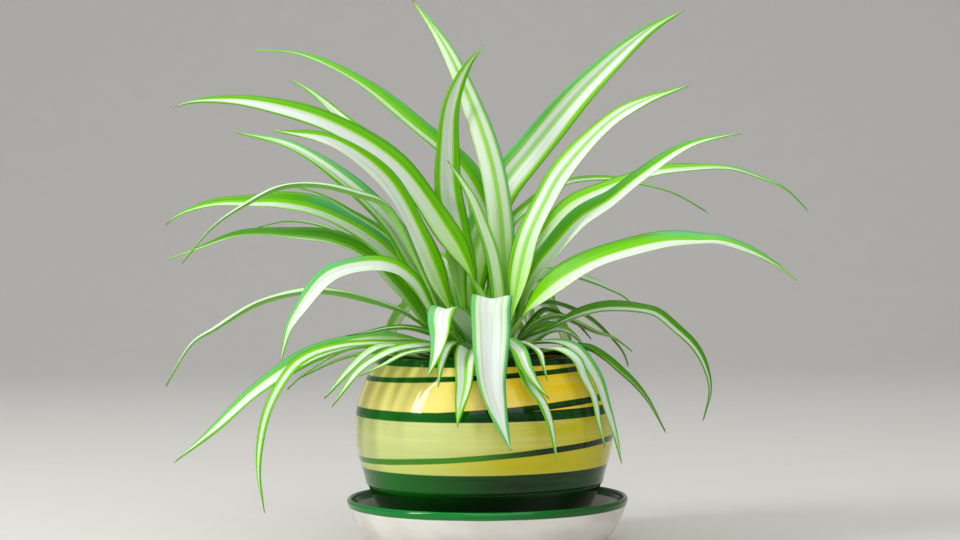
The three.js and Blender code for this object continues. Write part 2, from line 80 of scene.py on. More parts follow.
# Paint on the pot and saucer, in millimetres. A band is the height of its middle, its rise towards
# the right, half its width, and the lowest that its middle comes
BRUSHED_BANDS = ((105.4, 0.4, 3.0, 0), (97.4, 3.0, 1.35, 0), (77.1, 0.4, 2.5, 0),
                 (79.5, 4.9, 1.7, 76.5), (20.0, 0.3, 26.8, 0))
THIN_BAND = (56.3, 5.3, 1.55, 0)
BRUSH_EDGE = 0.22
GOLD_FROM, GOLD_FULL = 75.5, 77.5
# Heights between which the painted shade on the foot fades out
FOOT_SHADE_FULL, FOOT_SHADE_ENDS = 33.5, 36.5
RIM_PAINT_FROM, RIM_PAINT_FULL = 24.2, 24.6

# Soil and crown, in millimetres
SOIL_TOP = 92
SOIL_FOOT = 13
CRUMBS_PER_SQUARE_METRE = 240000.0
SMALLEST_CRUMB, LARGEST_CRUMB = 0.5, 1.3
CROWN = Vector((-3, 0, 99))
CROWN_RADIUS = 21
CROWN_EDGE_DROP = 5
CROWN_DEPTH = 34
CROWN_TIP_RADIUS = 9
CROWN_HOLE = 23
CROWN_HOLE_FLOOR = 64.7
ROOT_BROWN_BELOW, ROOT_PALE_FROM = 88, 99

# Sheaths of the leaves on each ring of the crown, in millimetres
RING_RADII = (3.3, 6, 8.6, 11.2, 13.8, 16.3, 18.8)
SHEATH_WIDTHS = (4, 4.6, 4.7, 4.3, 4.6, 4.5, 4.5)
SHEATH_HEIGHTS = (9, 8.5, 8, 7.5, 7, 6.2, 5.4)
SHEATH_FLARES = (1.1, 1.1, 1.12, 1.14, 1.16, 1.18, 1.2)
ROOT_LIFT = 0.4

# Blades: sizes in millimetres, and the shares of the length where their shape changes
BLADE_THICKNESS = 0.75
BLADE_ROWS = 84
BLADE_COLUMNS = 15
TIP_WIDTH = 0.5
ROLL_SETTLES_AT = 0.34
TAPERS_FROM, TAPER_POWER = 0.42, 2.1
FOLD_OPENS_AT = 0.4
TIP_FLATTENS_FROM, TIP_FLATTENS_BY = 0.7, 0.4
MARGIN_RIPPLE = 0.06
RIPPLE_LENGTH = 9
# What the pattern on a blade is drawn for: its width and its length. The last axis has no size
BLADE_MAP = (20, 200, 1)
# The leaves behind are even arches: shares of their reach and of their rise
BACK_FOLD = 30
ARCH_REACH = (0.12, 0.3, 0.52, 0.78, 1)
ARCH_RISE = (0.5, 0.92, 1, 0.72, 0)
ARCH_CREST = 0.52

# The photograph's eye and its lens, in millimetres and degrees
EYE = Vector((-2.9, -1444, 197.6))
EYE_PITCH = -1.83
EYE_ROLL = -0.5
LENS = 100

# The studio, in metres and watts: its sweep of paper, and each lamp's place, size and power
SWEEP_FRONT, SWEEP_BEND, SWEEP_TOP, SWEEP_SIDE = -6.0, 1.4, 3.5, 8
SWEEP_RADIUS = 1.2
SWEEP_STEPS = 12
LAMPS = {
    "window_light": ((-1.21, -0.6, 0.92), (0.28, 0.95), 15.5),
    "front_fill": ((0.35, -1.75, 1.7), (2.2, 2.0), 21.5),
    "top_light": ((-0.1, 0.3, 1.6), (1.2, 1.2), 8.0),
}
LAMPS_AIM = Vector((0, 0, 0.12))
SKY_COLOUR, SKY_STRENGTH = "#F2F4F6", 0.42

# A leaf has the numbers of its CAD source, in millimetres and degrees: its ring of the crown, the
# turn of its sheath, its width, fold, roll at the middle and at the tip, and its keel as points
# across, up and deep in the front view. Then, where they aren't the usual ones, the share of its
# length at which it reaches its width, and its heading
Leaf = namedtuple("Leaf", "ring turn width fold middle_roll tip_roll keel spread heading",
                  defaults=(0.34, None))
LEAVES = {
    "top_1": (0, 350, 15, 22, 66, 60, "8 119 -2, 9.5 157 -3, 7 190 -3, 1.5 217 -2, -8 244 2,"
        "-21.5 273.5 8, -39 299 16", 0.26, 200),
    "top_2": (0, 216, 17, 24, -78, -72, "-7 119 1, -16 173 7.5, -20 195 6, -20 217 1, -18.4 238 -4,"
        "-14 252 -8, -7.4 264 -12, 0.3 273 -16", 0.34, 180),
    "top_3": (1, 312, 9, 26, 60, 60, "6.6 119 -8, 6.3 141 -8.5, 3.4 160 -9, -1.6 176 -10,"
        "-8 192 -12, -20 211 -15", 0.28, 200),
    "top_4": (2, 98, 12, 26, 60, 50, "-4.5 125 16.2, -6 150 23, -8 170 29, -10 197 34", 0.34, 150),
    "left_01": (0, 90, 15, 26, -36, -14, "8.5 132 8.5, 11.5 156 12, 3 181 13, -12 208 14,"
        "-37 230 18, -67 254 28, -99 269 42, -124 271 52", 0.34, 155),
    "left_02": (1, 192, 14, 26, -44, -36, "-11.5 119 -4.2, -14 141 -7.5, -18 168 -5.5, -30 187 -3,"
        "-46 209 4, -73 231 16, -94 249 26, -105 255 30"),
    "left_03": (1, 255, 19, 22, -56, -48, "-1 116 -11, -3 135 -12, -11 154 -13, -22 173 -13.2,"
        "-48 208 -16, -83 231 -21, -127 243.5 -26, -156 244 -32, -167 241 -34", 0.22, 190),
    "left_04": (2, 213, 20, 20, -56, -50, "-14 111 -10, -20 130 -15, -26 146 -20, -35 168 -27,"
        "-54 201 -34, -83 222 -43, -115 228 -51", 0.31),
    "left_05": (2, 175, 15.5, 30, -48, -30, "-18 119 -1, -29 141 -3, -40 158 -4, -51 176 -2,"
        "-77 201.5 6, -105 219.5 16, -135 227 28"),
    "left_06": (3, 195, 13, 34, -14, 0, "-22 118 -9.4, -32 145 -14.5, -53 186 -15, -69 193 -15.5,"
        "-89 198 -17, -110 197 -19, -131 187 -22, -147 176 -25, -165 155 -28"),
    "left_07": (3, 168, 9, 32, -10, 0, "-23 120 3, -36 146 5, -50 168 6, -73 184 8, -89 193 10,"
        "-110 199 14", 0.26),
    "left_08": (4, 174, 19.5, 24, -44, -28, "-24 117 4, -34 141 8, -58 168 12, -89 185 14,"
        "-110 189.5 15, -126 189.5 16, -148 188.5 18, -165 183 20, -173 177 21", 0.24),
    "left_09": (5, 152, 9, 34, -10, 0, "-27 115 15, -36 130 22, -54 156 31, -71 168 37, -89 176 41,"
        "-107 178.5 44, -124 175 47", 0.26),
    "left_10": (5, 172, 17, 26, -32, -16, "-31 119 9, -46 143 16, -61 158.5 20, -80 168 23,"
        "-104 171.5 25, -132 172 28, -158 163.5 30, -173 158 31", 0.26),
    "left_11": (3, 223, 18, 28, -35, -25, "-16.3 113 -16.5, -29 129 -23.5, -38 144 -28,"
        "-48 152 -33, -58 154.5 -37, -77 152 -43, -87 147 -45, -101 130 -48, -107 120 -49,"
        "-111 103 -50"),
    "left_12": (4, 202, 13, 34, -8, 0, "-22 113 -11, -33 120.5 -16, -47 130 -21, -82 140 -28,"
        "-99 140.5 -30, -123 134.5 -34, -147 120.5 -38, -159 113 -40, -174 89 -43", 0.28),
    "left_13": (4, 230, 12, 30, -18, 0, "-20 113 -20, -32 118 -29, -43 120.5 -34, -54 120 -37,"
        "-66 117.5 -40, -76 116 -42"),
    "left_14": (5, 199, 17, 28, -30, -20, "-24 110 -8, -35 112 -14, -47 113 -20, -64 113 -27,"
        "-82 109.5 -34, -100 102.5 -39, -124 87 -46, -147 66.5 -52, -170 48 -58", 0.26),
    "left_15": (6, 208, 8, 30, -10, 0, "-26 102.5 -12.5, -40 104 -24, -54 106.5 -33, -66 106.5 -41,"
        "-80 103 -47, -103 92.5 -52"),
    "left_16": (5, 217, 9, 28, -20, -30, "-24 110 -18, -38 112.5 -29, -48 112 -35.5, -63 112 -44,"
        "-79 110.5 -50, -95 106 -54, -105 99 -56, -118.5 76 -60, -124 46 -62, -121 20.5 -62"),
    "left_17": (6, 189, 9, 30, -10, 0, "-27 102.5 -4, -44 106 -8, -58 109.5 -12, -70 110 -15,"
        "-82 106 -18, -100 94.5 -21, -108 87 -22"),
    "left_18": (6, 226, 10, 30, -15, -10, "-22 102.5 -20, -33 105.5 -32.5, -43.5 109 -43,"
        "-55 110.5 -49, -63 107.5 -53, -73 98.6 -57, -88 82 -61"),
    "left_19": (5, 235, 10, 30, -15, -10, "-17 107.5 -22.5, -28 110.5 -37, -36 110.5 -48,"
        "-49 108.5 -57.5, -59 104 -61, -69 97 -64, -84 77.6 -67"),
    "left_20": (6, 244, 8, 26, -10, 0, "-13.5 102.5 -25, -20.5 105.5 -40, -28 108 -53.5,"
        "-44 106 -62, -57 99.5 -66, -69 94 -69"),
    "front_01": (3, 252, 17, 18, 0, 0, "-7.5 114 -18.5, -15 127 -34, -22 131 -46, -24.5 126 -55,"
        "-25 116.6 -62, -27 106 -67, -31.6 93.4 -71"),
    "front_02": (5, 253, 9, 34, 0, 0, "-9.5 110 -27, -17 112 -41, -21 109.5 -54, -23.5 103 -61,"
        "-25 97 -65, -26 88 -68", 0.28),
    "front_03": (6, 262, 15, 36, 0, 0, "-5.5 102.5 -26, -7 105.5 -38, -9 109.5 -51, -11 104.5 -60,"
        "-12 89.4 -69, -14.4 77 -73, -16 66 -75", 0.28),
    "front_04": (3, 285.5, 22, 14, 0, 0, "3.6 117 -18.5, 3.8 133 -35, 3.7 136.5 -43, 2.8 131 -51,"
        "2.7 117.4 -60, 2.4 105.5 -67, 3 89 -73, 7.5 70 -77, 13 53 -79", 0.32),
    "front_05": (5, 279, 13, 26, 0, 0, "2.5 110 -26, 7.5 113.5 -40, 12.5 112.3 -51, 18 106.5 -62,"
        "21.5 98 -68, 27 89 -71, 34 81 -73"),
    "front_06": (5, 298, 7, 24, 0, 0, "10.5 110 -23, 18 112 -36, 24 110 -48, 29 106 -56, 31 99 -60,"
        "33 91 -63"),
    "front_07": (6, 289, 8, 20, 0, 0, "5.5 102.5 -25, 9 105 -39, 13 108.4 -52, 16.5 106 -60,"
        "19 100 -64, 22 92 -67, 25 86 -69, 29.5 80 -71, 34 69 -72, 38 47 -72", 0.26),
    "front_08": (6, 308, 8, 26, 10, 10, "13 102.5 -21, 26 105.5 -34.5, 35 108.4 -42.5,"
        "42.5 107 -47.5, 49 102 -50, 53 92.6 -51.5, 58 82 -52, 61 67 -52, 64 54.4 -52"),
    "front_09": (5, 317, 11, 26, 10, 15, "14 107.5 -16.5, 27 111.5 -25, 39 112 -32.5,"
        "47.5 109 -37.5, 54 101.5 -41, 60 91.5 -42, 64.5 78 -42, 69.5 61.6 -42, 73 45.4 -42"),
    "front_10": (6, 332, 12, 32, 8, 10, "20 102.5 -10, 34 106 -14, 48 109.5 -17, 56 108.6 -19,"
        "66 102 -20, 72 96.5 -21, 80.5 88.5 -22, 88 79 -23, 97 62 -23"),
    "right_01": (1, 135, 21, 22, 62, 60, "-10 125 9, -9 145 14, -4 166 19, 9 195 23, 25 215 26,"
        "56 250.5 32, 89 280 39, 109 291 42", 0.24, 20),
    "right_02": (2, 328, 18, 20, 60, 50, "12.5 115 -11, 16 135 -15, 19.5 154 -15.5, 24 170 -16,"
        "33 189 -15, 42 204 -17, 69 232 -22, 87 242 -26, 111 250 -30", 0.26),
    "right_03": (1, 74, 11, 28, 22, 14, "4.2 130 12.5, 6.5 156 18, 14 176 22, 24 185.5 23,"
        "36 194.6 28, 48 199 32, 68 200 36, 85 197 40, 102 192 44, 121 181 48", 0.26),
    "right_04": (2, 12, 17, 26, 26, 14, "12.8 124 2.2, 20 146 4.8, 27 163 6.5, 45.5 185 7,"
        "64 194 9, 91 203 12, 111 205 14, 133 205 16, 149 200 18, 163 193.5 19, 175.5 181 20"),
    "right_05": (3, 350, 18, 22, 48, 28, "15.5 118 -5.2, 21 138 -9.5, 28 152 -11, 36 162 -10.5,"
        "51 178 -12.5, 68 188.5 -15, 82.5 200 -18, 104 214.5 -21, 117 220 -23, 139 224 -27"),
    "right_06": (3, 314, 20, 22, 48, 10, "12 114 -19, 17 120 -22, 23 130 -26, 36.5 143 -31,"
        "57 155 -37, 73.5 161 -41, 97 166 -46, 115 166.5 -50, 128 166 -52, 143 161 -55,"
        "155 154.5 -57, 169 144 -59", 0.22),
    "right_07": (3, 22, 15, 30, 24, 15, "13 119 8, 23 143 13, 33 148.6 15, 46 148.5 18, 57 145 20,"
        "66 141 22, 75 136 24, 81 129.5 25", 0.24),
    "right_08": (4, 30, 9, 34, 5, 0, "16 122 10, 25 132 14, 35 133.7 18, 44 131.4 22, 56 125 26,"
        "66 116 29, 74 106 31, 77 98 32", 0.26),
    "right_09": (4, 328, 16, 28, 20, 10, "18 112 -11.5, 35 119.5 -18, 49 126.5 -22, 64.5 130 -25,"
        "83.5 129 -28, 92 127 -29, 102 119 -31, 113 108 -32, 119 96 -33, 121 84.5 -33, 117 68 -33"),
    "right_10": (5, 8, 9, 32, 5, 0, "18 112 6, 26 124 10, 33 129.6 13, 41 127 15, 50 121 17,"
        "57 113 19", 0.26),
    "right_11": (5, 347, 11, 32, 8, 5, "17 110 -3, 23 119 -3, 30 124 -2, 40 126 -1, 48 123 0,"
        "60 117 2, 69 114 3, 79.5 106 4"),
    "right_12": (6, 30, 14, 24, 30, 30, "20 110 12, 32 119 19, 44 118 25, 52.5 110 29, 57 100 32"),
}
# The leaves behind: ring, turn of the sheath, heading, width, reach, crest, and how far the tip
# hangs below the crest
BACK_LEAVES = (
    (2, 60, 68, 14, 120, 156, 35),
    (2, 138, 112, 14, 125, 158, 40),
    (3, 62, 76, 15, 130, 148, 50),
    (3, 100, 97, 16, 140, 150, 55),
    (4, 60, 58, 13, 105, 132, 50),
    (4, 95, 90, 14, 125, 138, 65),
    (4, 135, 124, 13, 108, 132, 55),
    (5, 75, 72, 11, 95, 121, 60),
    (5, 115, 106, 11, 98, 122, 65),
    (6, 95, 90, 10, 85, 115, 62),
)

# What sets one leaf's colours apart. Each is an attribute of its blade and an input of its tree
LEAF_MARKS = "band shift tone bloom waxed_from waxed_to line lime dry luck".split()
# The white band of the leaves that show it: half its width, and how far it lies off the middle of
# the blade towards the edge that is to the left of the way the leaf grows, in half widths
WHITE_BANDS = {
    "top_1": (0.82, -0.12), "top_2": (0.48, 0.05), "top_3": (0.52, 0.1), "left_01": (0.36, 0.45),
    "left_02": (0.7, 0.15), "left_03": (0.56, 0.26), "left_04": (0.68, 0.34),
    "left_05": (0.52, 0.05), "left_06": (0.42, -0.3), "left_08": (0.44, 0.44),
    "left_10": (0.3, 0.62), "left_11": (0.74, 0.26), "left_12": (0.36, -0.42),
    "left_14": (0.44, -0.05), "left_16": (0.34, 0.0), "front_01": (0.62, 0.12),
    "front_03": (0.74, 0.0), "front_04": (0.78, 0.0), "front_05": (0.46, 0.1),
    "front_07": (0.5, 0.1), "front_08": (0.62, -0.1), "front_09": (0.6, -0.2),
    "front_10": (0.14, 0.0), "right_01": (0.64, -0.04), "right_02": (0.8, -0.14),
    "right_03": (0.42, -0.05), "right_04": (0.56, -0.2), "right_05": (0.58, -0.4),
    "right_06": (0.56, -0.44), "right_07": (0.5, 0.25), "right_08": (0.2, 0.0),
    "right_09": (0.42, -0.1), "right_10": (0.22, 0.0),
}
# The limits of both, by chance, for the other leaves
USUAL_BAND = (0.36, 0.52)
USUAL_SHIFT = (-0.16, 0.16)
# Leaves with a green line on the keel, and how strong it is
KEEL_LINES = {
    "top_1": 1.2, "left_02": 0.4, "left_05": 0.5, "front_03": 1.6, "right_01": 0.75,
    "right_02": 0.9,
}
# Leaves with a painted bluish sheen that stands for the sky's reflection on their waxy skin: how
# strong it is, with the sign of its margin as for the white band, or near 2 for both margins, and
# the shares of the length between which it lies
SHEEN_LEAVES = {
    "top_1": (1.0, 0.0, 1.0), "left_01": (-0.7, 0.0, 1.0), "left_05": (-1.4, 0.0, 1.0),
    "left_06": (-0.5, 0.0, 1.0), "left_08": (-2.0, 0.32, 0.55), "left_11": (-1.3, 0.6, 1.0),
    "left_12": (-0.5, 0.0, 1.0), "left_14": (-1.0, 0.0, 1.0), "front_01": (-1.4, 0.0, 1.0),
    "front_04": (1.85, 0.0, 1.0), "front_05": (1.0, 0.0, 1.0), "front_08": (1.2, 0.0, 1.0),
    "front_09": (1.2, 0.0, 1.0), "right_01": (0.9, 0.0, 1.0), "right_04": (1.0, 0.8, 1.0),
    "right_05": (0.8, 0.2, 1.0), "right_06": (1.3, 0.66, 1.0), "right_07": (0.8, 0.0, 1.0),
}
SHEEN_FADES_OVER = 0.1
# How far up its length a leaf is lime: the upright inner leaves, those around them and the short
# ones that hang over the pot's front
LIME_INNER = 0.5
LIME_OUTER = 0.42
LIME_FRONT = 0.2
INNER_RINGS = 3
# Shaded leaves get a darker green as painted shade; the others differ a little in tone at random
SHADED_LEAVES = ("front_10", "right_08", "right_09", "right_10", "left_13")
PAINTED_SHADE_SHARE = 0.55
USUAL_DARKNESS = (0, 0.11)
PALE_UNDERSIDE = 0.2
DRY_TIPS = 0.3
LUCK_SEED = 12


def colour(code):
    """A '#rrggbb' sRGB colour as linear red, green, blue and alpha."""
    channels = [int(code[i:i + 2], 16) / 255 for i in (1, 3, 5)]
    linear = [c / 12.92 if c <= 0.04045 else ((c + 0.055) / 1.055) ** 2.4 for c in channels]
    return (*linear, 1)


def add(tree, kind, *inputs, output=0, **settings):
    """Adds a node, of a kind named without its family, with its settings. Fills its inputs, in
    order or by name, with values or with other outputs, and gives back one of its own outputs."""
    names = [family + kind for family in NODE_FAMILIES if hasattr(bpy.types, family + kind)]
    made = tree.nodes.new(names[0])
    for name, value in settings.items():
        setattr(made, name, value)
    named = inputs[0] if inputs and isinstance(inputs[0], dict) else dict(enumerate(inputs))
    for key, value in named.items():
        if isinstance(value, bpy.types.NodeSocket):
            tree.links.new(value, made.inputs[key])
        else:
            made.inputs[key].default_value = value
    return made.outputs[output] if made.outputs else None


def wavered(node, value, noise, amount):
    """A value that wavers with a noise, by up to half the amount either way."""
    swing = node("Math", noise, 0.5, operation="SUBTRACT")
    return node("Math", swing, amount, value, operation="MULTIPLY_ADD")


def apart(node, first, second):
    """How far apart two values are."""
    gap = node("Math", first, second, operation="SUBTRACT")
    return node("Math", gap, operation="ABSOLUTE")


def streaks(node, places, sizes, detail=3.0, roughness=0.55, seed=0.0, unit=METRE):
    """Noise drawn out into streaks of a size of its own along each axis. The sizes, and what a
    unit of the coordinates is long, are in millimetres."""
    scale = [length / size for length, size in zip(unit, sizes)]
    spread = node("Mapping", {"Vector": places, "Location": (seed, seed, seed), "Scale": scale})
    return node("TexNoise",
                {"Vector": spread, "Scale": 1.0, "Detail": detail, "Roughness": roughness})


def coats(node, ground, layers):
    """Lays coats of colour over a ground. A coat is its share and its colour, or a value, the low
    and high limits between which its share goes smoothly from one to another, both shares, and
    its colour."""
    ground = colour(ground) if isinstance(ground, str) else ground
    for share, *limits, tint in layers:
        if limits:
            share = node("MapRange", share, *limits, interpolation_type="SMOOTHSTEP")
        tint = colour(tint) if isinstance(tint, str) else tint
        ground = node("Mix", {0: share, 6: ground, 7: tint}, output=2, data_type="RGBA")
    return ground


def new_material(name):
    """An empty node material, and the function that adds a node to it."""
    material = bpy.data.materials.new(name)
    material.use_nodes = True
    material.node_tree.nodes.clear()
    return material, partial(add, material.node_tree)


def finish_material(material, node, surface, relief=None):
    """Ends a material with the values of its surface, and with relief too fine for the mesh, as
    its height pattern, its depth in millimetres and its strength."""
    if relief:
        height, depth, strength = relief
        surface["Normal"] = node("Bump", {"Height": height, "Distance": depth * MM,
                                          "Strength": strength})
    shader = node("BsdfPrincipled", surface)
    node("OutputMaterial", {"Surface": shader})
    return material


def leaf_material():
    """Living leaf: variegated, with a white middle between green margins, and a satin cuticle."""
    material, node = new_material("variegated_leaf")
    across, along = node("SeparateXYZ", node("UVMap", uv_map="UVMap")).node.outputs[:2]

    def own(mark):
        return node("Attribute", output="Fac", attribute_name=mark)

    # Veins are 0.3 mm wide and as far apart, and lines of colour are a few veins wide
    seed = node("Math", own("luck"), 40.0, operation="MULTIPLY")
    spot = node("CombineXYZ", across, along, seed)
    lines = streaks(node, spot, (1.333, 222.2, 1), detail=2.0, unit=BLADE_MAP)
    threads = streaks(node, spot, (0.588, 166.7, 1), detail=1.0, seed=9.0, unit=BLADE_MAP)
    veins = streaks(node, spot, (0.2857, 100, 1), detail=1.0, seed=7.7, unit=BLADE_MAP)
    drift = streaks(node, spot, (33.33, 66.67, 1), detail=1.0, seed=1.3, unit=BLADE_MAP)

    # The white band wanders a little and narrows to the tip, and the veins fray its edge
    place = node("Math", across, 2.0, -1.0, operation="MULTIPLY_ADD")
    side = node("Math", place, operation="ABSOLUTE")
    off = apart(node, place, wavered(node, own("shift"), drift, 0.2))
    narrowing = node("MapRange", along, 0.8, 1.0, 1.0, 0.3, interpolation_type="SMOOTHSTEP")
    band = node("Math", own("band"), narrowing, operation="MULTIPLY")
    beyond = node("Math", off, band, operation="SUBTRACT")
    edge = wavered(node, beyond, lines, 0.16)

    # A painted bluish sheen, standing for the sky's reflection on the waxy skin, lies on one
    # margin, or on both, and fades in and out along the blade
    both = node("MapRange", own("bloom"), 1.5, 2.125, 0.0, 1.0)
    single = node("Math", own("bloom"), place, operation="MULTIPLY")
    single = node("MapRange", single, 0.2, 1.2, 0.0, 0.8, interpolation_type="SMOOTHSTEP")
    bloom = node("Math", both, single, operation="MAXIMUM")
    for limit, before, after in (("waxed_from", 0.0, 1.0), ("waxed_to", 1.0, 0.0)):
        past = node("Math", along, own(limit), operation="SUBTRACT")
        fades = node("MapRange", past, 0.0, SHEEN_FADES_OVER, before, after,
                     interpolation_type="SMOOTHSTEP")
        bloom = node("Math", bloom, fades, operation="MULTIPLY")

    # Green is lime beside the white and at the base, and deepest at the very edge
    lime = own("lime")
    full_lime = node("Math", lime, 0.25, operation="MULTIPLY")
    margin = coats(node, "#AAE246", [
        (beyond, 0, 0.14, 0, 1, "#74C800"),
        (beyond, 0.25, 0.7, 0, 1, "#58AE00"),
        (along, full_lime, lime, 0.8, 0, "#86D000"),
        (lines, 0.52, 0.62, 0, 0.5, "#369200"),
        (threads, 0.62, 0.7, 0, 0.5, "#AEE82E"),
        (side, 0.92, 0.99, 0, 0.5, "#1C8204"),
        # Darker green: painted shade on the shaded leaves, and a little random tone on the others
        (own("tone"), "#1A6A04"),
        # The painted bluish sheen, a reflection of the sky
        (bloom, "#62BC80")])
    middle = coats(node, "#E0E9E0", [
        (beyond, -0.2, 0, 0, 0.6, "#C6E59A"),
        (along, full_lime, lime, 0.92, 0, "#B4E852"),
        (lines, 0.58, 0.66, 0, 0.75, "#9BD45A"),
        (threads, 0.6, 0.68, 0, 0.6, "#A3C98A"),
        (apart(node, place, 0.08), 0.05, 0.28, own("line"), 0, "#8AD02C")])
    blade = coats(node, middle, [
        (edge, -0.02, 0.03, 0, 1, margin),
        (along, 0, 0.07, 0.8, 0, "#DDEBA8"),
        (own("under"), "#BFE592"),
        (along, 0.97, 0.995, 0, own("dry"), "#8A6A3C")])
    satin = node("MapRange", veins, 0.2, 0.8, 0.28, 0.42, interpolation_type="SMOOTHSTEP")
    return finish_material(material, node, {
        "Base Color": blade, "Roughness": satin, "IOR": 1.42, "Specular IOR Level": 0.25,
        "Subsurface Weight": 0.2, "Subsurface Radius": (0.7, 1.0, 0.25), "Subsurface Scale": MM,
    }, relief=(veins, 0.12, 0.6))


def sine_round_pot(node, places):
    """How far round the pot a point lies, from -1 at its left by way of 0 at the front and back to
    1 at its right, and its height."""
    right, back, height = node("SeparateXYZ", places).node.outputs
    right = node("Math", right, POT_AXIS_X * MM, operation="SUBTRACT")
    square = node("Math", right, right, operation="MULTIPLY")
    square = node("Math", back, back, square, operation="MULTIPLY_ADD")
    radius = node("Math", square, operation="SQRT")
    return node("Math", right, radius, operation="DIVIDE"), height


def brush_band(node, height, lean, middle, rise, half, lowest):
    """The share of paint that one band of the pot gives."""
    line = node("Math", lean, rise * MM, middle * MM, operation="MULTIPLY_ADD")
    line = node("Math", line, lowest * MM, operation="MAXIMUM")
    return node("MapRange", apart(node, height, line), (half - BRUSH_EDGE) * MM,
                (half + BRUSH_EDGE) * MM, 1.0, 0.0, interpolation_type="SMOOTHSTEP")


def pot_material():
    """Glazed earthenware: bands brushed on by hand under a clear gloss glaze, so the colours are
    streaky and the highlights sharp."""
    material, node = new_material("glazed_painted_earthenware")
    places = node("TexCoord", output="Object")
    lean, height = sine_round_pot(node, places)
    # Brush hairs leave faint streaks 2 mm high, and the colour is uneven over 9 mm
    hairs = streaks(node, places, (62.5, 62.5, 2.083), roughness=0.6)
    wash = streaks(node, places, (111.1, 111.1, 9.09), detail=2.0, roughness=0.5, seed=4.0)
    ragged = wavered(node, height, hairs, 0.8 * MM)

    # Paler on the left, a painted reflection of the window light, and deep yellow to the right
    gold = coats(node, "#F0E47C", [
        (lean, -0.6, 0.35, 0, 1, "#F8D204"),
        (hairs, 0.4, 0.75, 0, 0.35, "#EFE07C")])
    pale = coats(node, "#C6D180", [
        (lean, -0.5, 0.75, 0, 1, "#C8BC00"),
        (hairs, 0.4, 0.75, 0, 0.35, "#D8DE9A")])
    low = coats(node, "#CCD570", [(lean, -0.7, 0.3, 0, 1, "#C8BE06")])
    middle, rise = THIN_BAND[:2]
    line = node("Math", lean, rise * MM, middle * MM, operation="MULTIPLY_ADD")
    below = node("Math", line, height, operation="SUBTRACT")
    # The lowest stripe was brushed thinly on the left, where the yellow shows through, and it
    # gets darker to the right as painted shade
    thin_shaded_paint = coats(node, "#3C8412", [(lean, -0.2, 0.5, 0, 1, "#012803")])
    ground = coats(node, pale, [
        (height, GOLD_FROM * MM, GOLD_FULL * MM, 0, 1, gold),
        (below, 0, 1.0 * MM, 0, 1, low),
        (wash, 0.4, 0.75, 0, 0.2, "#E9E3A0"),
        (brush_band(node, ragged, lean, *THIN_BAND), thin_shaded_paint)])

    # The paint gets darker towards the right as painted shade, and the foot is darker still, nearly
    # black, as painted shade
    paint = coats(node, "#05680C", [
        (lean, -0.9, 0.2, 0, 1, "#012803"),
        (hairs, 0.35, 0.75, 0, 0.4, "#0A6A10"),
        (height, FOOT_SHADE_FULL * MM, FOOT_SHADE_ENDS * MM, 0.75, 0, "#011402")])
    painted = 0.0
    for band in BRUSHED_BANDS:
        painted = node("Math", painted, brush_band(node, ragged, lean, *band), operation="MAXIMUM")
    return finish_material(material, node, {
        "Base Color": coats(node, ground, [(painted, paint)]), "Roughness": 0.08, "IOR": 1.5,
        "Specular IOR Level": 0.32,
    }, relief=(wash, 0.2, 0.3))


def saucer_material():
    """Glazed earthenware: cream body under clear glaze, with a green band brushed on the rim."""
    material, node = new_material("cream_glazed_earthenware")
    places = node("TexCoord", output="Object")
    lean, height = sine_round_pot(node, places)
    hairs = streaks(node, places, (45.45, 45.45, 1.613), roughness=0.6, seed=2.0)
    clouds = streaks(node, places, (35.71, 35.71, 16.67), detail=2.0, seed=5.0)
    ragged = wavered(node, height, hairs, 0.7 * MM)
    # The rim band is brighter on the left and darker to the right, as painted light and shade
    paint = coats(node, "#0A8232", [
        (lean, -0.2, 0.9, 0, 1, "#04500C"),
        (hairs, 0.35, 0.75, 0, 0.5, "#026010")])
    body = coats(node, "#EAE7E1", [
        (clouds, 0.35, 0.7, 0, 1, "#DAD4CC"),
        (ragged, RIM_PAINT_FROM * MM, RIM_PAINT_FULL * MM, 0, 1, paint)])
    return finish_material(material, node, {
        "Base Color": body, "Roughness": 0.1, "IOR": 1.5, "Specular IOR Level": 0.34,
    }, relief=(clouds, 0.2, 0.3))


def soil_material():
    """Potting soil: dark damp peat with lighter fibres, dull all over."""
    material, node = new_material("damp_potting_soil")
    places = node("TexCoord", output="Object")
    grains = streaks(node, places, (1.429, 1.429, 1.429), detail=4.0, roughness=0.7)
    patches = streaks(node, places, (11.11, 11.11, 11.11), detail=2.0, seed=2.0)
    peat = coats(node, "#1E140D", [
        (grains, 0.35, 0.7, 0, 1, "#4A3524"),
        (patches, 0.45, 0.7, 0, 0.5, "#2B1D14")])
    return finish_material(material, node, {"Base Color": peat, "Roughness": 0.92},
                           relief=(grains, 0.6, 0.8))


def crown_material():
    """Rootstock: pale, waxy, ringed flesh that is greener towards the light."""
    material, node = new_material("waxy_rootstock")
    places = node("TexCoord", output="Object")
    height = node("SeparateXYZ", places, output=2)
    rings = streaks(node, places, (16.67, 16.67, 1.111))
    flesh = coats(node, "#C7D68C", [
        (rings, 0.35, 0.7, 0, 1, "#E6E9C4"),
        (height, ROOT_BROWN_BELOW * MM, ROOT_PALE_FROM * MM, 0.5, 0, "#8A6C48")])
    return finish_material(material, node, {"Base Color": flesh, "Roughness": 0.5},
                           relief=(rings, 0.3, 0.6))


def floor_material():
    """Matt studio paper: plain and pale, so that it only catches soft shadows."""
    material, node = new_material("pale_studio_paper")
    # Real fibres are too fine to show, so they are drawn 25 mm wide
    fibres = streaks(node, node("TexCoord", output="Object"), (25, 25, 25), detail=2.0)
    paper = coats(node, "#D2D0CB", [(fibres, "#D6D4CF")])
    return finish_material(material, node, {"Base Color": paper, "Roughness": 0.85})


